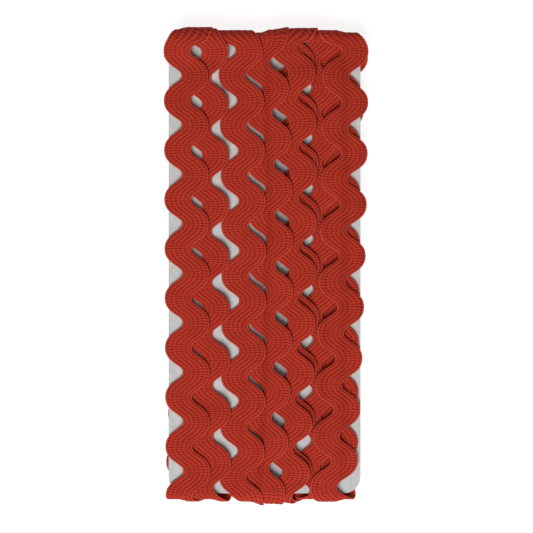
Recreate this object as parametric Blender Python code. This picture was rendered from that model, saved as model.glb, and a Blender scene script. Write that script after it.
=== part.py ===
"""Medium ric rac wound lengthwise round a flat card, lying on its back.

+X is the card's width, +Y its length and +Z points away from the table.  Lengths are in
millimetres until a mesh is made.  The braid is one wavy strip.  Its route is written on the
card's skin laid out flat: x runs across the card, and u runs up the front, over the top end,
down the back and round the bottom end, once for each lap.
"""
from collections import namedtuple

import bpy
import numpy as np

MM = 0.001

# The card
CARD_WIDTH = 54.0
CARD_LENGTH = 128.0
CARD_THICK = 0.9
CARD_CORNER = 4.8
CORNER_STEPS = 8

# The braid: 12.7 mm over its bumps, one wave every 14.2 mm
BRAID_THICK = 1.0
HALF_ACROSS = 3.85
PITCH = 14.2
FAN = 0.24  # share of the slope by which the lines across the braid turn with it
FAN_EASE = 2.5  # distance from a turn over which they do so
BLUNTING = 0.06  # share of a third harmonic that makes the bumps and notches rounder

# The turns round the card's two ends, where the braid is pulled thin
TURN_LENGTH = 6.0  # travel allowed for half a turn
END_INSET = 0.2  # how far inside the card's end the turn is centred
TURN_THINNING = 0.4  # share of its thickness that the braid loses there
TURN_EASE = 16.0  # length over which it regains its thickness

# Where the braid starts and stops
START_UP = 3.64  # height above the card's bottom end, on the front
TAIL = 5.0  # length past the top turn, on the back

# Sections: the route is worked out finely, and the solid keeps some of its sections
FINE_STEPS = 32
KEEP_FLAT = 4
KEEP_TURN = 2

# How the laps lie on each other
SKIN_GAP = 0.3  # between the card and the braid
LAYER_GAP = 0.12  # between two laps
STATION = 2.0  # spacing of the places along a lap where its height is worked out
REACH = 1  # stations before a higher lap at which the braid starts to lift
EASE = 1  # stations over which the lift is evened out

# The back, where the laps hang down from the card to the table
TABLE_LEVEL = 6.9  # from the card's skin to the table, which presses the braid flat
HANGING_LEVEL = 4.6  # how low the middles of the later laps hang
FIRST_HANGING_LAP = 3
FLAT_LAP = 7  # the lap whose run down the back lies flat on the table
HANGING_START = 8.0  # how far from a turn they start to come down
HANGING_EASE = 12.0  # length over which they come down

# The runs up the front, in the order in which they were wound.  x_top, x_mid and x_bottom
# place a run's middle line from the card's middle.  bump is the distance from the card's top
# end down to the run's first bump on its right.  lean is the rise across the run, to its
# right, for each millimetre: each run lies half on the one before it, like a roof tile.
Run = namedtuple("Run", "x_top x_mid x_bottom bump pitch swing lean")
RUNS = [
    Run(x_top=20.6, x_mid=20.3, x_bottom=19.8, bump=0.7, pitch=14.1, swing=2.5, lean=0.0),
    Run(x_top=14.2, x_mid=15.0, x_bottom=14.0, bump=13.6, pitch=14.2, swing=2.5, lean=0.17),
    Run(x_top=7.3, x_mid=9.2, x_bottom=6.5, bump=6.1, pitch=14.4, swing=2.5, lean=0.17),
    Run(x_top=22.7, x_mid=21.8, x_bottom=19.2, bump=3.4, pitch=14.4, swing=2.7, lean=-0.05),
    Run(x_top=7.7, x_mid=8.3, x_bottom=6.0, bump=9.3, pitch=14.1, swing=2.5, lean=0.17),
    Run(x_top=-0.2, x_mid=1.8, x_bottom=-0.5, bump=13.9, pitch=14.2, swing=2.5, lean=0.18),
    Run(x_top=-6.9, x_mid=-5.8, x_bottom=-6.5, bump=3.2, pitch=14.1, swing=2.5, lean=0.2),
    Run(x_top=-16.4, x_mid=-16.1, x_bottom=-15.6, bump=3.9, pitch=14.4, swing=2.5, lean=0.22),
    Run(x_top=-22.1, x_mid=-21.8, x_bottom=-21.5, bump=10.3, pitch=13.9, swing=2.5, lean=0.2),
]
COLUMNS = Run(*np.array(RUNS).T)

FLAT_LENGTH = CARD_LENGTH - 2 * END_INSET
LAP_LENGTH = 2 * FLAT_LENGTH + 2 * TURN_LENGTH
BACK_START = FLAT_LENGTH + TURN_LENGTH
BACK_END = BACK_START + FLAT_LENGTH


def smooth(t):
    """Eases from 0 to 1 by 3t^2 - 2t^3."""
    t = np.clip(t, 0.0, 1.0)
    return 3 * t**2 - 2 * t**3


def wave_shape(waves):
    """One wave from 1 to -1 and back: (cos a - b cos 3a) / (1 - b), for angle a and blunting b."""
    angle = 2 * np.pi * waves
    return (np.cos(angle) - BLUNTING * np.cos(3 * angle)) / (1 - BLUNTING)


def route_knots():
    """Gives the route as knots of distance u and waves made.

    Each run up the front fixes its own waves.  The run down the back between two of them
    makes the number of waves that brings its pitch nearest to the braid's own.
    """
    turn_waves = TURN_LENGTH / PITCH
    u_knots = []
    wave_knots = []
    waves_before = None
    for lap, run in enumerate(RUNS):
        waves_at_bottom = (run.bump - FLAT_LENGTH) / run.pitch
        if waves_before is not None:
            free = waves_at_bottom - waves_before - 2 * turn_waves
            waves_at_bottom += np.round(FLAT_LENGTH / PITCH - free)
        waves_at_top = waves_at_bottom + FLAT_LENGTH / run.pitch
        start = lap * LAP_LENGTH
        u_knots += [start - TURN_LENGTH, start, start + FLAT_LENGTH, start + BACK_START]
        wave_knots += [waves_at_bottom - turn_waves, waves_at_bottom]
        wave_knots += [waves_at_top, waves_at_top + turn_waves]
        waves_before = waves_at_top
    u_knots.append(u_knots[-1] + FLAT_LENGTH)
    wave_knots.append(wave_knots[-1] + FLAT_LENGTH / PITCH)
    return np.array(u_knots), np.array(wave_knots)


def turn_distance(u):
    """Distance along the route to the nearest turn, and 0 on a turn."""
    within = np.mod(u, LAP_LENGTH)
    to_top = np.maximum(np.abs(within - FLAT_LENGTH - TURN_LENGTH / 2) - TURN_LENGTH / 2, 0.0)
    to_next = np.abs(within - BACK_END - TURN_LENGTH / 2) - TURN_LENGTH / 2
    to_bottom = np.minimum(np.maximum(to_next, 0.0), within)
    return np.minimum(to_top, to_bottom)


def on_the_back(u):
    """Whether places along the route lie on the card's back."""
    within = np.mod(u, LAP_LENGTH)
    return (within > BACK_START) & (within < BACK_END)


def braid_lie(u):
    """How the braid lies at distances u: its middle line's x, swing, lean and thickness.

    On the front the middle line is the parabola through the run's three places.  On the back
    it eases from one run's top to the next run's bottom, and so do swing and lean.
    """
    lap = np.clip((u + TURN_LENGTH / 2) // LAP_LENGTH, 0, len(RUNS) - 1).astype(int)
    after = np.minimum(lap + 1, len(RUNS) - 1)
    top, mid, bottom = COLUMNS.x_top[lap], COLUMNS.x_mid[lap], COLUMNS.x_bottom[lap]
    within = u - lap * LAP_LENGTH
    t = np.clip(within / FLAT_LENGTH, 0.0, 1.0)
    front = bottom * (1 - t) * (1 - 2 * t) + 4 * mid * t * (1 - t) + top * t * (2 * t - 1)
    share = smooth((within - BACK_START) / FLAT_LENGTH)
    back = top + (COLUMNS.x_bottom[after] - top) * share
    middle = np.where(within < FLAT_LENGTH, front, back)
    swing = COLUMNS.swing[lap] + (COLUMNS.swing[after] - COLUMNS.swing[lap]) * share
    lean = COLUMNS.lean[lap] + (COLUMNS.lean[after] - COLUMNS.lean[lap]) * share
    away = turn_distance(u)
    flat = on_the_back(u) & (lap == FLAT_LAP)
    lean = lean * np.where(flat, 1.0 - smooth((away - HANGING_START) / HANGING_EASE), 1.0)
    full = 1.0 - TURN_THINNING * (1.0 - smooth(away / TURN_EASE))
    return middle, swing, lean * full, BRAID_THICK * full


def eased_value(least, at):
    """Mean over the EASE stations on each side of the highest value within REACH of each."""
    highest = []
    for near in range(at - EASE, at + EASE + 1):
        near = min(max(near, 0), len(least) - 1)
        highest.append(least[max(near - REACH, 0) : near + REACH + 1].max())
    return sum(highest) / len(highest)


def hanging_level(stations):
    """Height at which the later laps hang on the back, and 0 where nothing hangs."""
    away = turn_distance(stations) - HANGING_START
    down = smooth(away / HANGING_EASE) * on_the_back(stations)
    lap = stations // LAP_LENGTH
    level = np.where(lap >= FIRST_HANGING_LAP, HANGING_LEVEL, 0.0)
    level = np.where(lap == FLAT_LAP, TABLE_LEVEL - BRAID_THICK, level)
    return level * down


def lap_heights(first_u, last_u):
    """Height of the braid's under face along its middle line, at stations u.

    Each lap is a sheet that leans across.  It clears every earlier lap that shares its width
    there, at both ends of the shared width, and its own edges clear the card.  The least such
    height is then eased along the route, so that the braid lifts before it climbs.
    """
    per_lap = int(round(LAP_LENGTH / STATION))
    step = LAP_LENGTH / per_lap
    stations = np.arange(first_u, last_u + step, step)
    middle, swing, lean, thick = braid_lie(stations)
    half = HALF_ACROSS + swing
    least = np.maximum(SKIN_GAP + np.abs(lean) * half, hanging_level(stations))
    height = np.zeros(len(stations))
    delay = REACH + EASE
    for here in range(len(stations) + delay):
        if here < len(stations):
            for other in range(here - per_lap, -1, -per_lap):
                low = max(middle[here] - half[here], middle[other] - half[other])
                high = min(middle[here] + half[here], middle[other] + half[other])
                if low < high:
                    ends = np.array([low, high])
                    top = height[other] + lean[other] * (ends - middle[other]) + thick[other]
                    clear = top + LAYER_GAP - lean[here] * (ends - middle[here])
                    least[here] = max(least[here], clear.max())
        done = here - delay
        if done >= 0:
            height[done] = eased_value(least[: here + 1], done)
    return stations, height


def braid_sections():
    """Lays the lines across the braid along its route, on the flat skin.

    The middle line is x = middle + swing times the wave's shape.  A line across it, half to each
    side, is turned by FAN times the middle line's slope angle, and not at all on a turn.
    Returns the left and right ends as (x, u, height of the under face) rows, the distance u
    of each line and the thickness there.
    """
    u_knots, wave_knots = route_knots()
    last_turn = (len(RUNS) - 1) * LAP_LENGTH + BACK_START
    first = np.interp(START_UP, u_knots, wave_knots)
    last = np.interp(last_turn + TAIL, u_knots, wave_knots)
    count = int((last - first) * FINE_STEPS / KEEP_FLAT) * KEEP_FLAT + 1
    waves = first + np.arange(count) / FINE_STEPS
    u = np.interp(waves, wave_knots, u_knots)
    middle, swing, _, thick = braid_lie(u)
    x = middle + swing * wave_shape(waves)
    fan = FAN * smooth(turn_distance(u) / FAN_EASE)
    turned = fan * np.arctan2(np.gradient(x), np.gradient(u))
    across = HALF_ACROSS * np.stack([np.cos(turned), -np.sin(turned)], axis=1)
    centre = np.stack([x, u], axis=1)
    stations, height = lap_heights(u[0] - PITCH, u[-1] + PITCH)
    ends = []
    for end in (centre - across, centre + across):
        end_middle, _, end_lean, _ = braid_lie(end[:, 1])
        rise = end_lean * (end[:, 0] - end_middle)
        ends.append(np.column_stack([end, np.interp(end[:, 1], stations, height) + rise]))
    return ends[0], ends[1], u, thick


def wrap_round_card(x, u, height):
    """Carries points (x, u) at a height above the skin onto the card, as x, y, z in mm."""
    within = np.mod(u, LAP_LENGTH)
    half = CARD_THICK / 2 + height
    end = FLAT_LENGTH / 2
    top_angle = np.pi * (within - FLAT_LENGTH) / TURN_LENGTH
    bottom_angle = np.pi * (within - BACK_END) / TURN_LENGTH
    places = [within < FLAT_LENGTH, within < BACK_START, within < BACK_END]
    y_choices = [within - end, end + half * np.sin(top_angle), end - (within - BACK_START)]
    z_choices = [half, half * np.cos(top_angle), -half]
    y = np.select(places, y_choices, -end - half * np.sin(bottom_angle))
    z = np.select(places, z_choices, -half * np.cos(bottom_angle))
    return np.stack([x, y, z], axis=-1)


def kept_sections(u):
    """Which fine sections the solid keeps: more of them round the card's ends."""
    step = np.arange(len(u))
    turning = (turn_distance(u) < PITCH * KEEP_FLAT / FINE_STEPS) & (step % KEEP_TURN == 0)
    return turning | (step % KEEP_FLAT == 0)


def braid_mesh():
    """The wound braid as one closed strip with four corners to a section."""
    left, right, u, thick = braid_sections()
    keep = kept_sections(u)
    left, right, u, thick = left[keep], right[keep], u[keep], thick[keep]
    limit = np.where(on_the_back(u), TABLE_LEVEL, np.inf)
    corners = [
        wrap_round_card(left[:, 0], left[:, 1], left[:, 2]),
        wrap_round_card(left[:, 0], left[:, 1], np.minimum(left[:, 2] + thick, limit)),
        wrap_round_card(right[:, 0], right[:, 1], np.minimum(right[:, 2] + thick, limit)),
        wrap_round_card(right[:, 0], right[:, 1], right[:, 2]),
    ]
    verts = np.stack(corners, axis=1).reshape(-1, 3)
    under_side = 3
    side = np.arange(4)[None, :]
    a = 4 * np.arange(len(u) - 1)[:, None] + side
    b = 4 * np.arange(len(u) - 1)[:, None] + (side + 1) % 4
    c = b + 4
    d = a + 4
    straight = np.stack([np.stack([a, b, c], -1), np.stack([a, c, d], -1)], axis=2)
    crossed = np.stack([np.stack([a, b, d], -1), np.stack([b, c, d], -1)], axis=2)
    walls = np.where((side == under_side)[:, :, None, None], crossed, straight).reshape(-1, 3)
    start_cap = [[0, 3, 2], [0, 2, 1]]
    last = 4 * (len(u) - 1)
    end_cap = [[last, last + 1, last + 2], [last, last + 2, last + 3]]
    return verts, np.concatenate([start_cap, walls, end_cap])


def card_mesh():
    """A flat plate whose outline has a quarter circle at each corner."""
    turn = np.linspace(0.0, np.pi / 2, CORNER_STEPS + 1)
    outline = []
    for quarter, (sign_x, sign_y) in enumerate([(1, 1), (-1, 1), (-1, -1), (1, -1)]):
        angle = turn + quarter * np.pi / 2
        x = sign_x * (CARD_WIDTH / 2 - CARD_CORNER) + CARD_CORNER * np.cos(angle)
        y = sign_y * (CARD_LENGTH / 2 - CARD_CORNER) + CARD_CORNER * np.sin(angle)
        outline.append(np.stack([x, y], axis=1))
    outline = np.concatenate(outline)
    count = len(outline)
    low = np.column_stack([outline, np.full(count, -CARD_THICK / 2)])
    high = np.column_stack([outline, np.full(count, CARD_THICK / 2)])
    faces = [list(range(count, 2 * count)), list(range(count))[::-1]]
    for here in range(count):
        after = (here + 1) % count
        faces.append([here, after, count + after, count + here])
    return np.concatenate([low, high]), faces


def plain_material(name, colour, roughness):
    """A Principled material of one colour."""
    material = bpy.data.materials.new(name)
    material.use_nodes = True
    shader = material.node_tree.nodes["Principled BSDF"]
    shader.inputs["Base Color"].default_value = (*colour, 1.0)
    shader.inputs["Roughness"].default_value = roughness
    shader.inputs["Metallic"].default_value = 0.0
    return material


def add_object(name, verts, faces, material):
    """Makes one object from points in millimetres."""
    mesh = bpy.data.meshes.new(name)
    mesh.from_pydata((verts * MM).tolist(), [], [list(map(int, face)) for face in faces])
    mesh.materials.append(material)
    thing = bpy.data.objects.new(name, mesh)
    bpy.context.collection.objects.link(thing)


def main():
    for old in list(bpy.data.objects):
        bpy.data.objects.remove(old, do_unlink=True)
    braid_verts, braid_faces = braid_mesh()
    card_verts, card_faces = card_mesh()
    # The origin is under the middle of the whole, on the table
    every = np.concatenate([braid_verts, card_verts])
    low, high = every.min(axis=0), every.max(axis=0)
    origin = np.array([(low[0] + high[0]) / 2, (low[1] + high[1]) / 2, low[2]])
    red = plain_material("red_polyester_braid", (0.40, 0.034, 0.022), 0.85)
    grey = plain_material("pale_grey_card", (0.52, 0.50, 0.51), 0.8)
    add_object("ric_rac", braid_verts - origin, braid_faces, red)
    add_object("card", card_verts - origin, card_faces, grey)


main()
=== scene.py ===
from collections import namedtuple

import bpy
import numpy as np
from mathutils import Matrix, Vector


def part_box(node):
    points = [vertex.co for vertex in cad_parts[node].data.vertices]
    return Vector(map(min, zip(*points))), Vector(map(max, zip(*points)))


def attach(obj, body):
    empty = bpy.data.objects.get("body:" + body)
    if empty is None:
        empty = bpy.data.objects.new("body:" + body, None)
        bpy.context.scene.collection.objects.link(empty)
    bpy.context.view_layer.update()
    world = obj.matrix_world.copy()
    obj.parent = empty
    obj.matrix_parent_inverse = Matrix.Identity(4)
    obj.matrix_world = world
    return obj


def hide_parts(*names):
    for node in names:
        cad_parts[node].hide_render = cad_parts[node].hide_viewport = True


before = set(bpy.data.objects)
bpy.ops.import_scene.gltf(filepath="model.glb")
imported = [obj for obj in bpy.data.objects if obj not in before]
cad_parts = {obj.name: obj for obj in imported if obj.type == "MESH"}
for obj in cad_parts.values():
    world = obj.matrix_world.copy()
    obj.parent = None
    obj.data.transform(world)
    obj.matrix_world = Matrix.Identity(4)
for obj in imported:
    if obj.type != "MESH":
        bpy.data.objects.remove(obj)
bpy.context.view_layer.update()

# Medium ric rac wound lengthwise round a flat card.  +X is the card's width, +Y its length
# and +Z points away from the table.  Lengths are in millimetres until a mesh is made.  The
# braid's route is written on the card's skin laid out flat: x runs across the card, and u
# runs up the front, over the top end, down the back and round the bottom end, once a lap.
MM = 0.001

# The card, as in the frame
CARD_LENGTH = 128.0
CARD_THICK = 0.9

# The braid: 12.7 mm over its bumps, one wave every 14.2 mm
BRAID_THICK = 1.0
HALF_ACROSS = 3.85
PITCH = 14.2
BLUNTING = 0.06  # share of a third harmonic that makes the bumps and notches rounder

# The turns round the card's two ends, where the braid is pulled thin
TURN_LENGTH = 6.0  # travel allowed for half a turn
END_INSET = 0.2  # how far inside the card's end the turn is centred
TURN_THINNING = 0.4  # share of its thickness that the braid loses there
TURN_EASE = 16.0  # length over which it regains its thickness

# The lines across the braid turn with its slope, and by more over the top end, where the
# braid also widens.  Both end this far from the middle of the turn.
FAN = 0.24
FAN_OVER_TOP = 0.6
SPREAD_OVER_TOP = 0.35
TOP_EASE = 5.0

# Where the braid starts, above the bottom end on the front, and stops, past the top turn
START_UP = 3.64
TAIL = 5.0

# How the laps lie on each other
SKIN_GAP = 0.1  # between the card and the braid
LAYER_GAP = 0.05  # between two laps
STATION = 1.0  # spacing of the places along a lap where its height is worked out
DRAPE_ACROSS = 17  # places across the braid where its height is worked out
DRAPE = (2, 1)  # places along and across by which it lifts before an edge
LAID_AT_ONCE = 6  # stations laid together, far fewer than a lap has
MAP_HALF_WIDTH = 34.0  # the relief map of the skin reaches past the widest bumps
MAP_CELL = 0.4
MAP_FINER = 4  # times finer that a lap is marked on the map, so that no cell is missed

# The back, where the laps hang down from the card to the table
TABLE_LEVEL = 6.9  # from the card's skin to the table, which presses the braid flat
HANGING_LEVEL = 4.6  # how low the middles of the later laps hang
FIRST_HANGING_LAP = 3
FLAT_LAP = 7  # the lap whose run down the back lies flat on the table
HANGING_START = 8.0  # how far from a turn they start to come down
HANGING_EASE = 12.0  # length over which they come down

# How far each lap stands off the card's top end, where it goes over loosely, in winding order
LOOSE_OVER_TOP = (0.4, 1.0, 0.6, 0.8, 0.3, 1.0, 1.7, 1.9, 1.9)
LOOSE_UNDER = 0.9  # the same at its bottom end
LOOSE_EASE = 9.0  # distance from the middle of a turn at which the laps lie close again

# The braid's mesh: sections to a wave, and places across its inner face
WAVE_STEPS = 24
INNER_PLACES = (0.93, 0.5, 0.0, -0.5, -0.93)
ROUND_PLACE = 0.95  # place on the outer face that gives the edge its roundness

# The braid's own relief, in millimetres, and shares of its half width
STITCH = 0.7  # spacing of the stitches along the braid
COLUMN_COUNT = 6  # columns of stitches across the braid
COLUMN_SHARE = 2 / COLUMN_COUNT  # width of a column
SELVEDGE = (0.86, 0.92)  # places between which the edge's cord begins
EDGE_ROUND = 0.13  # width over which the edge is rounded
RIB_DEPTH = 0.08  # valleys between the columns
LEVEL_RELIEF = 0.3  # share of that depth left on the bumps
SELVEDGE_RISE = 0.06  # the firm cord along each edge

# The drawing of the stitches.  Its UV map counts stitches along and columns across.
STITCH_MAP = "stitches"
SLOPE_MAP = "slope"
STITCH_SLANT = 0.35  # stitches by which a stitch moves along while it crosses its column
WANDER = (0.2, 0.1, 0.0)  # how far the stitches stray along and across, in the map's units
WANDER_SCALE = 0.6  # one way and back in about 1.2 mm
CORD_COVER = 0.35  # share of the dark lines that is left on the edge's cord
CORD_PAINTED_HIGHLIGHT = 0.7  # share by which the cord is painted a lighter red, a painted highlight along each edge

# Dark lines between stitches and between columns: the distances from a line's middle, as
# shares of their spacing, between which it fades out, and how strong it is on a bump and
# on a slope.  The lines between stitches fade on the slopes, and those between columns grow.
Line = namedtuple("Line", "dark clear on_bump on_slope")
STITCH_GAP = Line(dark=0.03, clear=0.36, on_bump=0.7, on_slope=0.32)
COLUMN_SEAM = Line(dark=0.03, clear=0.32, on_bump=0.25, on_slope=0.45)

# Spun yarn's fibres are about 0.02 mm thick, too fine to show.  Their fuzz is drawn 0.3 mm
# across, and the dye's unevenness about 6 mm.  Both scale the colour between two shares.
FUZZ_SCALE = 2.2
FUZZ_TINT = (0.86, 1.14)
FUZZ_HEIGHT = 0.3  # of the stitches' own relief
DYE_SCALE = 0.12
DYE_TINT = (0.9, 1.1)
STITCH_BUMP = 0.0003  # in metres

# Pulp fibres are finer than the render shows, so they are drawn about 1 mm wide and 4 mm long
PULP_SCALE = 900.0  # to a metre
FIBRE_SCALE = (900.0, 250.0, 1.0)
BOARD_BUMP = 0.00005  # in metres

# The runs up the front, in the order in which they were wound, as in the frame's own braid.
# x_top, x_mid and x_bottom place a run's middle line from the card's middle.  bump is the
# distance from the card's top end down to its first bump on the right, pitch the length of
# its waves, and swing how far they take the middle line to each side.
Run = namedtuple("Run", "x_top x_mid x_bottom bump pitch swing")
RUNS = [
    Run(x_top=20.6, x_mid=20.3, x_bottom=19.8, bump=0.7, pitch=14.1, swing=2.5),
    Run(x_top=14.2, x_mid=15.0, x_bottom=14.0, bump=13.6, pitch=14.2, swing=2.5),
    Run(x_top=7.3, x_mid=9.2, x_bottom=6.5, bump=6.1, pitch=14.4, swing=2.5),
    Run(x_top=22.7, x_mid=21.8, x_bottom=19.2, bump=3.4, pitch=14.4, swing=2.7),
    Run(x_top=7.7, x_mid=8.3, x_bottom=6.0, bump=9.3, pitch=14.1, swing=2.5),
    Run(x_top=-0.2, x_mid=1.8, x_bottom=-0.5, bump=13.9, pitch=14.2, swing=2.5),
    Run(x_top=-6.9, x_mid=-5.8, x_bottom=-6.5, bump=3.2, pitch=14.1, swing=2.5),
    Run(x_top=-16.4, x_mid=-16.1, x_bottom=-15.6, bump=3.9, pitch=14.4, swing=2.5),
    Run(x_top=-22.1, x_mid=-21.8, x_bottom=-21.5, bump=10.3, pitch=13.9, swing=2.5),
]
BY_LAP = Run(*np.array(RUNS).T)  # each value of all runs as one array

FLAT_LENGTH = CARD_LENGTH - 2 * END_INSET
LAP_LENGTH = 2 * FLAT_LENGTH + 2 * TURN_LENGTH
BACK_START = FLAT_LENGTH + TURN_LENGTH
BACK_END = BACK_START + FLAT_LENGTH

# The photograph: straight down from above the middle of the card
FRAMED = 149.5  # width of the picture at the level of the braid
AIM = (0.15, 0.06, 11.0)
LENS = 200.0
SENSOR = 36.0
CLIP = (0.01, 10.0)  # in metres

# The studio, in metres and watts: a soft key light from beyond the picture's lower edge, and
# a faint fill from beyond its upper edge
Lamp = namedtuple("Lamp", "name place size power")
LAMPS = (
    Lamp("key", (-0.22, -0.85, 1.4), 0.95, 27.0),
    Lamp("fill", (-0.2, 0.6, 1.6), 1.4, 1.8),
)
WORLD_LIGHT = 0.09
FLOOR_REACH = 1.5
FLOOR_GLOW = 0.86
WHITE = (1.0, 1.0, 1.0, 1.0)


def smooth(t):
    """Eases from 0 to 1 by 3t^2 - 2t^3."""
    t = np.clip(t, 0.0, 1.0)
    return 3 * t**2 - 2 * t**3


def wave_shape(waves):
    """One wave from 1 to -1 and back: (cos a - b cos 3a) / (1 - b), for angle a and blunting b."""
    angle = 2 * np.pi * waves
    return (np.cos(angle) - BLUNTING * np.cos(3 * angle)) / (1 - BLUNTING)


def route_knots():
    """Gives the route as knots of distance u and waves made.

    Each run up the front fixes its own waves.  The run down the back between two of them
    makes the number of waves that brings its pitch nearest to the braid's own.
    """
    turn_waves = TURN_LENGTH / PITCH
    u_knots = []
    wave_knots = []
    waves_before = None
    for lap, run in enumerate(RUNS):
        waves_at_bottom = (run.bump - FLAT_LENGTH) / run.pitch
        if waves_before is not None:
            free = waves_at_bottom - waves_before - 2 * turn_waves
            waves_at_bottom += np.round(FLAT_LENGTH / PITCH - free)
        waves_at_top = waves_at_bottom + FLAT_LENGTH / run.pitch
        start = lap * LAP_LENGTH
        u_knots += [start - TURN_LENGTH, start, start + FLAT_LENGTH, start + BACK_START]
        wave_knots += [waves_at_bottom - turn_waves, waves_at_bottom]
        wave_knots += [waves_at_top, waves_at_top + turn_waves]
        waves_before = waves_at_top
    u_knots.append(u_knots[-1] + FLAT_LENGTH)
    wave_knots.append(wave_knots[-1] + FLAT_LENGTH / PITCH)
    return np.array(u_knots), np.array(wave_knots)


def top_distance(u):
    """Distance along the route to the middle of the turn over the card's top end."""
    return np.abs(np.mod(u, LAP_LENGTH) - FLAT_LENGTH - TURN_LENGTH / 2)


def bottom_distance(u):
    """Distance along the route to the middle of the nearest turn under the bottom end."""
    within = np.mod(u, LAP_LENGTH)
    return np.minimum(np.abs(within - BACK_END - TURN_LENGTH / 2), within + TURN_LENGTH / 2)


def turn_distance(u):
    """Distance along the route to the nearest turn, and 0 on a turn."""
    return np.maximum(np.minimum(top_distance(u), bottom_distance(u)) - TURN_LENGTH / 2, 0.0)


def on_the_back(u):
    """Whether places along the route lie on the card's back."""
    within = np.mod(u, LAP_LENGTH)
    return (within > BACK_START) & (within < BACK_END)


def braid_lie(u):
    """How the braid lies at distances u: its middle line's x, its swing and its thickness.

    On the front the middle line is the parabola through the run's three places.  On the back
    it eases from one run's top to the next run's bottom, and so does the swing.
    """
    lap = np.clip((u + TURN_LENGTH / 2) // LAP_LENGTH, 0, len(RUNS) - 1).astype(int)
    after = np.minimum(lap + 1, len(RUNS) - 1)
    top, mid, bottom = BY_LAP.x_top[lap], BY_LAP.x_mid[lap], BY_LAP.x_bottom[lap]
    within = u - lap * LAP_LENGTH
    t = np.clip(within / FLAT_LENGTH, 0.0, 1.0)
    front = bottom * (1 - t) * (1 - 2 * t) + 4 * mid * t * (1 - t) + top * t * (2 * t - 1)
    share = smooth((within - BACK_START) / FLAT_LENGTH)
    back = top + (BY_LAP.x_bottom[after] - top) * share
    middle = np.where(within < FLAT_LENGTH, front, back)
    swing = BY_LAP.swing[lap] + (BY_LAP.swing[after] - BY_LAP.swing[lap]) * share
    full = 1.0 - TURN_THINNING * (1.0 - smooth(turn_distance(u) / TURN_EASE))
    return middle, swing, BRAID_THICK * full


def least_level(stations):
    """Height that the laps keep from the skin: hanging on the back, and loose over the ends."""
    lap = stations // LAP_LENGTH
    away = turn_distance(stations)
    down = smooth((away - HANGING_START) / HANGING_EASE) * on_the_back(stations)
    hanging = np.where(lap >= FIRST_HANGING_LAP, HANGING_LEVEL, 0.0)
    hanging = np.where(lap == FLAT_LAP, TABLE_LEVEL - BRAID_THICK, hanging)
    over = np.interp(lap, np.arange(len(RUNS)), LOOSE_OVER_TOP)
    over = over * (1 - smooth(top_distance(stations) / LOOSE_EASE))
    under = LOOSE_UNDER * (1 - smooth(bottom_distance(stations) / LOOSE_EASE))
    return np.maximum(np.maximum(hanging * down, over), under)


def combined_near(field, reaches, combine):
    """Combines the values within so many places of each, along each direction of a grid."""
    for axis, reach in enumerate(reaches):
        width = [(reach, reach) if axis == this else (0, 0) for this in (0, 1)]
        padded = np.pad(field, width, mode="edge")
        count = field.shape[axis]
        shifts = [np.take(padded, range(k, k + count), axis) for k in range(2 * reach + 1)]
        field = combine(shifts, axis=0)
    return field


def finer(field, times):
    """The same grid with times as many steps each way, by straight lines between places."""
    for axis in (0, 1):
        count = field.shape[axis]
        at = np.linspace(0, count - 1, (count - 1) * times + 1)
        low = np.minimum(at.astype(int), count - 2)
        share = (at - low).reshape((-1, 1) if axis == 0 else (1, -1))
        first, second = np.take(field, low, axis), np.take(field, low + 1, axis)
        field = first * (1 - share) + second * share
    return field


def cells(x, u):
    """Places in the relief map of points (x, u) on the card's skin."""
    column = ((x + MAP_HALF_WIDTH) / MAP_CELL).astype(int)
    return column, (np.mod(u, LAP_LENGTH) / MAP_CELL).astype(int)


def laid_heights(x, u, thick, floor):
    """Height of the under face at each point of a grid laid along the braid.

    A relief map of the skin holds the top of what is wound so far.  A few stations at a time
    are laid on it.  Their under face is the map below them, raised within DRAPE places of
    each high spot and then evened out over as many, so it clears every edge it crosses and
    comes down on the far side.  Then their own top is marked on the map.
    """
    map_shape = (int(2 * MAP_HALF_WIDTH / MAP_CELL), int(LAP_LENGTH / MAP_CELL) + 1)
    relief = np.full(map_shape, SKIN_GAP)
    height = np.zeros_like(x)
    least = np.zeros_like(x)
    count = len(x)
    for start in range(0, count, LAID_AT_ONCE):
        stop = min(start + LAID_AT_ONCE, count)
        low, high = max(start - 2 * DRAPE[0], 0), min(stop + 2 * DRAPE[0] + 1, count)
        ahead = slice(start, high)
        least[ahead] = np.maximum(relief[cells(x[ahead], u[ahead])], floor[ahead, None])
        lifted = combined_near(least[low:high], DRAPE, np.max)
        evened = combined_near(lifted, DRAPE, np.mean)
        height[start:stop] = evened[start - low : stop - low]
        laid = slice(max(start - 1, 0), stop)
        if stop - laid.start > 1:
            top = finer(height[laid] + thick[laid, None] + LAYER_GAP, MAP_FINER)
            place = cells(finer(x[laid], MAP_FINER), finer(u[laid], MAP_FINER))
            np.maximum.at(relief, place, top)
    return height


def draped_heights(x, u):
    """Height of the braid's under face at points (x, u) along its route.

    Each lap drapes across its whole width over the laps below, which bridge the gaps between
    their own waves, so heights are worked out on a grid as wide as the waves are.  A point's
    height is that of the four places round it, by straight lines across and then along.
    """
    stations = np.arange(u.min() - STATION, u.max() + 2 * STATION, STATION)
    middle, swing, thick = braid_lie(stations)
    share = np.linspace(-1.0, 1.0, DRAPE_ACROSS)
    grid_x = middle[:, None] + (HALF_ACROSS + swing)[:, None] * share
    grid_u = np.broadcast_to(stations[:, None], grid_x.shape)
    height = laid_heights(grid_x, grid_u, thick, least_level(stations))
    row = (u - stations[0]) / STATION
    first = row.astype(int)
    middle, swing, _ = braid_lie(u)
    column = ((x - middle) / (HALF_ACROSS + swing) + 1) / 2 * (DRAPE_ACROSS - 1)
    column = np.clip(column, 0.0, DRAPE_ACROSS - 1)
    left = np.minimum(column.astype(int), DRAPE_ACROSS - 2)
    to_right = column - left
    lower = height[first, left] * (1 - to_right) + height[first, left + 1] * to_right
    upper = height[first + 1, left] * (1 - to_right) + height[first + 1, left + 1] * to_right
    return lower + (upper - lower) * (row - first)


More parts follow.
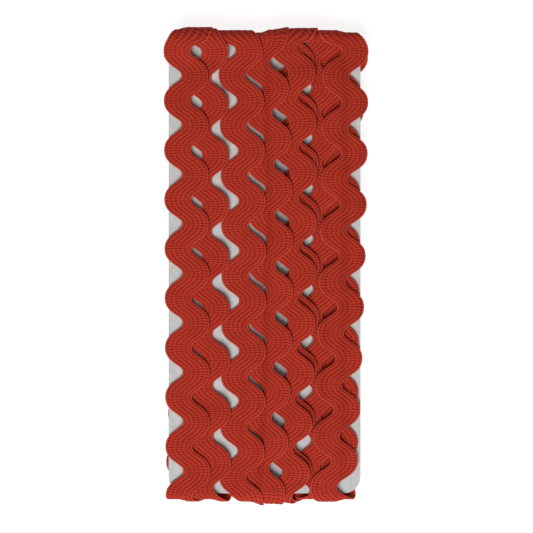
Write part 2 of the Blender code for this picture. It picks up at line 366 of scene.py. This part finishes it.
def wrap_round_card(x, u, height):
    """Carries points (x, u) at a height above the skin onto the card, as x, y, z in mm.

    Up the front y grows with u.  Round each end the point swings through half a circle about
    the card's end, and down the back y falls with u.
    """
    within = np.mod(u, LAP_LENGTH)
    half = CARD_THICK / 2 + height
    end = FLAT_LENGTH / 2
    top_angle = np.pi * (within - FLAT_LENGTH) / TURN_LENGTH
    bottom_angle = np.pi * (within - BACK_END) / TURN_LENGTH
    places = [within < FLAT_LENGTH, within < BACK_START, within < BACK_END]
    y_choices = [within - end, end + half * np.sin(top_angle), end - (within - BACK_START)]
    z_choices = [half, half * np.cos(top_angle), -half]
    y = np.select(places, y_choices, -end - half * np.sin(bottom_angle))
    z = np.select(places, z_choices, -half * np.cos(bottom_angle))
    return np.stack([x, y, z], axis=-1)


def braid_profile():
    """The braid's section: places s across it from -1 to 1, and whether on the outer face.

    The outer face has a point on each rib and in each valley between two, and the inner face
    has a few.
    """
    ribs = np.arange(1 - COLUMN_COUNT, COLUMN_COUNT) / COLUMN_COUNT
    outer = np.concatenate([[-1.0, -ROUND_PLACE], ribs, [ROUND_PLACE, 1.0]])
    s = np.concatenate([outer, INNER_PLACES])
    return s, np.arange(len(s)) < len(outer)


def section_heights(s, outer):
    """Height across the section, in thicknesses from its middle, and its ribs' relief in mm.

    The section is flat with round edges: half a circle over the last EDGE_ROUND of the width.
    The ribs are a cosine across, one for each column of stitches, and the edge's cord stands
    up outside them.
    """
    beyond = np.clip((np.abs(s) - 1 + EDGE_ROUND) / EDGE_ROUND, 0.0, 1.0)
    round_share = np.sqrt(1 - beyond**2)
    valley = 0.5 - 0.5 * np.cos(2 * np.pi * s / COLUMN_SHARE)
    inside = np.abs(s) < SELVEDGE[0]
    relief = np.where(inside, -RIB_DEPTH * valley, SELVEDGE_RISE * round_share)
    return np.where(outer, 0.5, -0.5) * round_share, relief * outer


def braid_surface():
    """Points of the braid's surface, sections by places round, their UV places and slope.

    The middle line is x = middle + swing times the wave's shape.  A line across it, half to
    each side, is turned by the fan's share of the middle line's slope angle.  slope is the
    size of the wave's sine, 0 on a bump and 1 halfway between two, and deepens the ribs.
    """
    u_knots, wave_knots = route_knots()
    last_turn = (len(RUNS) - 1) * LAP_LENGTH + BACK_START
    first = np.interp(START_UP, u_knots, wave_knots)
    last = np.interp(last_turn + TAIL, u_knots, wave_knots)
    waves = first + np.arange(int((last - first) * WAVE_STEPS) + 1) / WAVE_STEPS
    u = np.interp(waves, wave_knots, u_knots)
    middle, swing, thick = braid_lie(u)
    x = middle + swing * wave_shape(waves)
    from_top = smooth(top_distance(u) / TOP_EASE)
    fan = FAN_OVER_TOP + (FAN - FAN_OVER_TOP) * from_top
    turned = fan * np.arctan2(np.gradient(x), np.gradient(u))
    spread = 1.0 + SPREAD_OVER_TOP * (1.0 - from_top)
    s, outer = braid_profile()
    across = HALF_ACROSS * spread[:, None] * s[None, :]
    point_x = x[:, None] + across * np.cos(turned)[:, None]
    point_u = u[:, None] - across * np.sin(turned)[:, None]
    from_middle, relief = section_heights(s, outer)
    slope = np.broadcast_to(np.abs(np.sin(2 * np.pi * waves))[:, None], point_x.shape)
    relief = relief[None, :] * (LEVEL_RELIEF + (1 - LEVEL_RELIEF) * slope)
    under = draped_heights(point_x, point_u)
    level = under + thick[:, None] * (0.5 + from_middle[None, :]) + relief
    level = np.where(on_the_back(u)[:, None], np.minimum(level, TABLE_LEVEL), level)
    along = np.concatenate([[0.0], np.cumsum(np.hypot(np.diff(x), np.diff(u)))])
    column = s[None, :] / COLUMN_SHARE + 0.5
    pattern = np.stack(np.broadcast_arrays(along[:, None] / STITCH, column), axis=-1)
    return wrap_round_card(point_x, point_u, level), pattern, slope


def add_piece(name, verts, faces, material):
    """Makes a smooth shaded piece from points in metres and lists of their indices."""
    mesh = bpy.data.meshes.new(name)
    mesh.from_pydata(verts.tolist(), [], faces)
    mesh.polygons.foreach_set("use_smooth", np.ones(len(mesh.polygons), dtype=bool))
    mesh.materials.append(material)
    mesh.update()
    piece = bpy.data.objects.new(name, mesh)
    bpy.context.collection.objects.link(piece)
    return piece


def braid_piece(centre, material):
    """The wound braid as one closed strip: quads between sections, and a fan at each end."""
    points, pattern, slope = braid_surface()
    count, per_section = points.shape[:2]
    place = np.arange(per_section)
    after = (place + 1) % per_section
    row = per_section * np.arange(count - 1)[:, None]
    ring = row + per_section
    quads = np.stack([row + place, row + after, ring + after, ring + place], axis=-1)
    hub = np.zeros(per_section - 2, dtype=int)
    start = np.stack([hub, place[2:], place[1:-1]], axis=-1)
    end = np.stack([hub, place[1:-1], place[2:]], axis=-1) + per_section * (count - 1)
    faces = quads.reshape(-1, 4).tolist() + start.tolist() + end.tolist()
    piece = add_piece("ric_rac_braid", points.reshape(-1, 3) * MM + centre, faces, material)
    corner = np.concatenate([quads.ravel(), start.ravel(), end.ravel()])
    uv = pattern.reshape(-1, 2)[corner]
    stitches = piece.data.uv_layers.new(name=STITCH_MAP)
    stitches.data.foreach_set("uv", uv.astype(np.float32).ravel())
    sheared = piece.data.attributes.new(SLOPE_MAP, "FLOAT", "POINT")
    sheared.data.foreach_set("value", slope.astype(np.float32).ravel())
    return piece


def linear(hex_colour):
    """sRGB hex to linear red, green, blue and alpha.

    A value c of at most 0.04045 becomes c / 12.92, and any other ((c + 0.055) / 1.055)^2.4.
    """
    value = np.array([int(hex_colour[i : i + 2], 16) for i in (1, 3, 5)]) / 255
    value = np.where(value <= 0.04045, value / 12.92, ((value + 0.055) / 1.055) ** 2.4)
    return (*value, 1.0)


def node(tree, kind, inputs, **settings):
    """Adds a node with its settings, and sets or links its inputs."""
    new = tree.nodes.new("ShaderNode" + kind)
    for name, value in settings.items():
        setattr(new, name, value)
    for place, value in inputs.items():
        if isinstance(value, bpy.types.NodeSocket):
            tree.links.new(value, new.inputs[place])
        else:
            new.inputs[place].default_value = value
    return new


def new_material(name):
    """A material with its tree and its Principled shader."""
    material = bpy.data.materials.new(name)
    material.use_nodes = True
    return material, material.node_tree, material.node_tree.nodes["Principled BSDF"]


def braided_polyester():
    """Red spun polyester yarn, braided flat: a soft, dull cloth of slanting stitches.

    Columns of stitches run along the braid, and neighbours slant opposite ways.  On the
    slopes the braid is sheared, so its columns close up, and dark pinholes open where a
    stitch's end meets a seam.  On the bumps it is not, and each stitch shows as a light dash
    across it.  The darkness is 1 - (1 - gap)(1 - seam)(1 - pinhole).
    """
    material, tree, shader = new_material("braided_polyester")
    uv = node(tree, "UVMap", {}, uv_map=STITCH_MAP).outputs["UV"]
    sheared = node(tree, "Attribute", {}, attribute_name=SLOPE_MAP).outputs["Fac"]
    wander = node(tree, "TexNoise", {"Vector": uv, "Scale": WANDER_SCALE, "Detail": 2.0})
    centred = node(tree, "VectorMath", {0: wander.outputs["Color"], 1: (0.5, 0.5, 0.5)},
                   operation="SUBTRACT")
    moved = node(tree, "VectorMath", {0: centred.outputs[0], 1: WANDER, 2: uv},
                 operation="MULTIPLY_ADD")
    place = node(tree, "SeparateXYZ", {"Vector": moved.outputs[0]})
    along, across = place.outputs["X"], place.outputs["Y"]

    # Neighbouring columns slant opposite ways and meet at their seam
    slant = node(tree, "Math", {0: across, 1: 1.0}, operation="PINGPONG")
    turned = node(tree, "Math", {0: slant.outputs[0], 1: STITCH_SLANT, 2: along},
                  operation="MULTIPLY_ADD")

    # The light that the gaps between stitches, the seams and the pinholes leave
    left = 1.0
    pinhole = sheared
    for count, line in ((turned.outputs[0], STITCH_GAP), (across, COLUMN_SEAM)):
        middle = node(tree, "Math", {0: count, 1: 0.5}, operation="PINGPONG")
        dark = node(tree, "MapRange", {"Value": middle.outputs[0], "From Min": line.dark,
                    "From Max": line.clear, "To Min": 1.0, "To Max": 0.0},
                    interpolation_type="SMOOTHSTEP").outputs[0]
        share = node(tree, "MapRange", {"Value": sheared, "To Min": -line.on_bump,
                     "To Max": -line.on_slope})
        beside = node(tree, "Math", {0: dark, 1: share.outputs[0], 2: 1.0},
                      operation="MULTIPLY_ADD")
        left = node(tree, "Math", {0: left, 1: beside.outputs[0]},
                    operation="MULTIPLY").outputs[0]
        pinhole = node(tree, "Math", {0: pinhole, 1: dark}, operation="MULTIPLY").outputs[0]
    around = node(tree, "Math", {0: 1.0, 1: pinhole}, operation="SUBTRACT")
    left = node(tree, "Math", {0: left, 1: around.outputs[0]}, operation="MULTIPLY")
    darkness = node(tree, "Math", {0: 1.0, 1: left.outputs[0]}, operation="SUBTRACT")

    # The firm cord along each edge hides them, and is painted a lighter red as a painted highlight
    # along the edges
    from_middle = node(tree, "Math", {0: across, 1: 0.5}, operation="SUBTRACT")
    out = node(tree, "Math", {0: from_middle.outputs[0]}, operation="ABSOLUTE").outputs[0]
    cord = {"Value": out, "From Min": SELVEDGE[0] / COLUMN_SHARE,
            "From Max": SELVEDGE[1] / COLUMN_SHARE}
    shown = node(tree, "MapRange", {**cord, "To Min": 1.0, "To Max": CORD_COVER},
                 interpolation_type="SMOOTHSTEP")
    painted_edge_highlight = node(tree, "MapRange", {**cord, "To Min": 0.0, "To Max": CORD_PAINTED_HIGHLIGHT},
                   interpolation_type="SMOOTHSTEP")
    depth = node(tree, "Math", {0: darkness.outputs[0], 1: shown.outputs[0]},
                 operation="MULTIPLY").outputs[0]
    ramp = node(tree, "ValToRGB", {"Fac": depth})
    ramp.color_ramp.elements[0].color = linear("#BC3C2B")
    ramp.color_ramp.elements[1].color = linear("#770F03")
    ramp.color_ramp.elements.new(0.5).color = linear("#A52718")
    colour_a, colour_b, mixed_colour = 6, 7, 2
    # C8493A is that painted highlight: a lighter red standing in for light caught along the
    # braid's edges
    colour_with_edge_highlight = node(tree, "Mix", {"Factor": painted_edge_highlight.outputs[0], colour_a: ramp.outputs["Color"],
                 colour_b: linear("#C8493A")}, data_type="RGBA").outputs[mixed_colour]

    fuzz = node(tree, "TexNoise", {"Vector": uv, "Scale": FUZZ_SCALE, "Detail": 3.0})
    dye = node(tree, "TexNoise", {"Vector": uv, "Scale": DYE_SCALE, "Detail": 1.0})
    tint = node(tree, "MapRange", {"Value": fuzz.outputs["Fac"], "To Min": FUZZ_TINT[0],
                "To Max": FUZZ_TINT[1]})
    fade = node(tree, "MapRange", {"Value": dye.outputs["Fac"], "To Min": DYE_TINT[0],
                "To Max": DYE_TINT[1]})
    scale = node(tree, "Math", {0: tint.outputs[0], 1: fade.outputs[0]}, operation="MULTIPLY")
    tinted = node(tree, "VectorMath", {0: colour_with_edge_highlight, "Scale": scale.outputs[0]}, operation="SCALE")
    tree.links.new(tinted.outputs[0], shader.inputs["Base Color"])

    hairs = node(tree, "Math", {0: fuzz.outputs["Fac"], 1: FUZZ_HEIGHT}, operation="MULTIPLY")
    height = node(tree, "Math", {0: hairs.outputs[0], 1: depth}, operation="SUBTRACT")
    bump = node(tree, "Bump", {"Height": height.outputs[0], "Distance": STITCH_BUMP,
                "Strength": 0.5})
    tree.links.new(bump.outputs["Normal"], shader.inputs["Normal"])
    shader.inputs["Roughness"].default_value = 0.8
    shader.inputs["Specular IOR Level"].default_value = 0.12
    shader.inputs["Sheen Weight"].default_value = 0.03
    shader.inputs["Sheen Roughness"].default_value = 0.5
    shader.inputs["Sheen Tint"].default_value = linear("#E08070")
    return material


def pale_board():
    """Uncoated pale grey board, pressed from pulp: matt, with a faint grain of fibres."""
    material, tree, shader = new_material("pale_board")
    place = node(tree, "TexCoord", {}).outputs["Object"]
    pulp = node(tree, "TexNoise", {"Vector": place, "Scale": PULP_SCALE, "Detail": 4.0})
    stretch = node(tree, "Mapping", {"Vector": place, "Scale": FIBRE_SCALE})
    fibre = node(tree, "TexNoise", {"Vector": stretch.outputs[0], "Scale": 1.0, "Detail": 3.0})
    mixed = node(tree, "Math", {0: pulp.outputs["Fac"], 1: fibre.outputs["Fac"]},
                 operation="MULTIPLY").outputs[0]
    ramp = node(tree, "ValToRGB", {"Fac": mixed})
    ramp.color_ramp.elements[0].position = 0.1
    ramp.color_ramp.elements[0].color = linear("#BEBFBD")
    ramp.color_ramp.elements[1].position = 0.45
    ramp.color_ramp.elements[1].color = linear("#D2D3D1")
    tree.links.new(ramp.outputs["Color"], shader.inputs["Base Color"])
    bump = node(tree, "Bump", {"Height": mixed, "Distance": BOARD_BUMP, "Strength": 0.5})
    tree.links.new(bump.outputs["Normal"], shader.inputs["Normal"])
    shader.inputs["Roughness"].default_value = 0.9
    shader.inputs["Specular IOR Level"].default_value = 0.25
    return material


def lit_acrylic():
    """White cast acrylic under the object, lit faintly from below, so its shadows are pale."""
    material, _, shader = new_material("lit_acrylic")
    shader.inputs["Base Color"].default_value = linear("#8C8C8C")
    shader.inputs["Roughness"].default_value = 0.9
    shader.inputs["Emission Color"].default_value = WHITE
    shader.inputs["Emission Strength"].default_value = FLOOR_GLOW
    return material


def add_lamp(lamp, aim):
    """A square area light, turned to face the aim."""
    data = bpy.data.lights.new(lamp.name, "AREA")
    data.size = lamp.size
    data.energy = lamp.power
    light = bpy.data.objects.new(lamp.name, data)
    light.location = lamp.place
    direction = Vector(aim) - Vector(lamp.place)
    light.rotation_euler = direction.to_track_quat("-Z", "Y").to_euler()
    bpy.context.collection.objects.link(light)


def add_studio(centre):
    """Floor, lights and camera."""
    corners = FLOOR_REACH * np.array([[-1, -1, 0], [1, -1, 0], [1, 1, 0], [-1, 1, 0]])
    add_piece("floor", corners, [[0, 1, 2, 3]], lit_acrylic())
    for lamp in LAMPS:
        add_lamp(lamp, centre)
    world = bpy.data.worlds.new("studio")
    world.use_nodes = True
    background = world.node_tree.nodes["Background"]
    background.inputs["Color"].default_value = WHITE
    background.inputs["Strength"].default_value = WORLD_LIGHT
    bpy.context.scene.world = world
    bpy.context.scene.view_settings.view_transform = "Standard"
    data = bpy.data.cameras.new("camera")
    data.lens = LENS
    data.sensor_width = SENSOR
    data.clip_start, data.clip_end = CLIP
    camera = bpy.data.objects.new("camera", data)
    away = FRAMED * LENS / SENSOR
    camera.location = (AIM[0] * MM, AIM[1] * MM, (AIM[2] + away) * MM)
    bpy.context.collection.objects.link(camera)
    bpy.context.scene.camera = camera


low, high = (np.array(corner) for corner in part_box("card"))
card_centre = (low + high) / 2

braid = braid_piece(card_centre, braided_polyester())
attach(braid, "root")
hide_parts("ric_rac")

board = pale_board()
for slot in bpy.data.objects["card"].material_slots:
    slot.material = board

add_studio(card_centre)
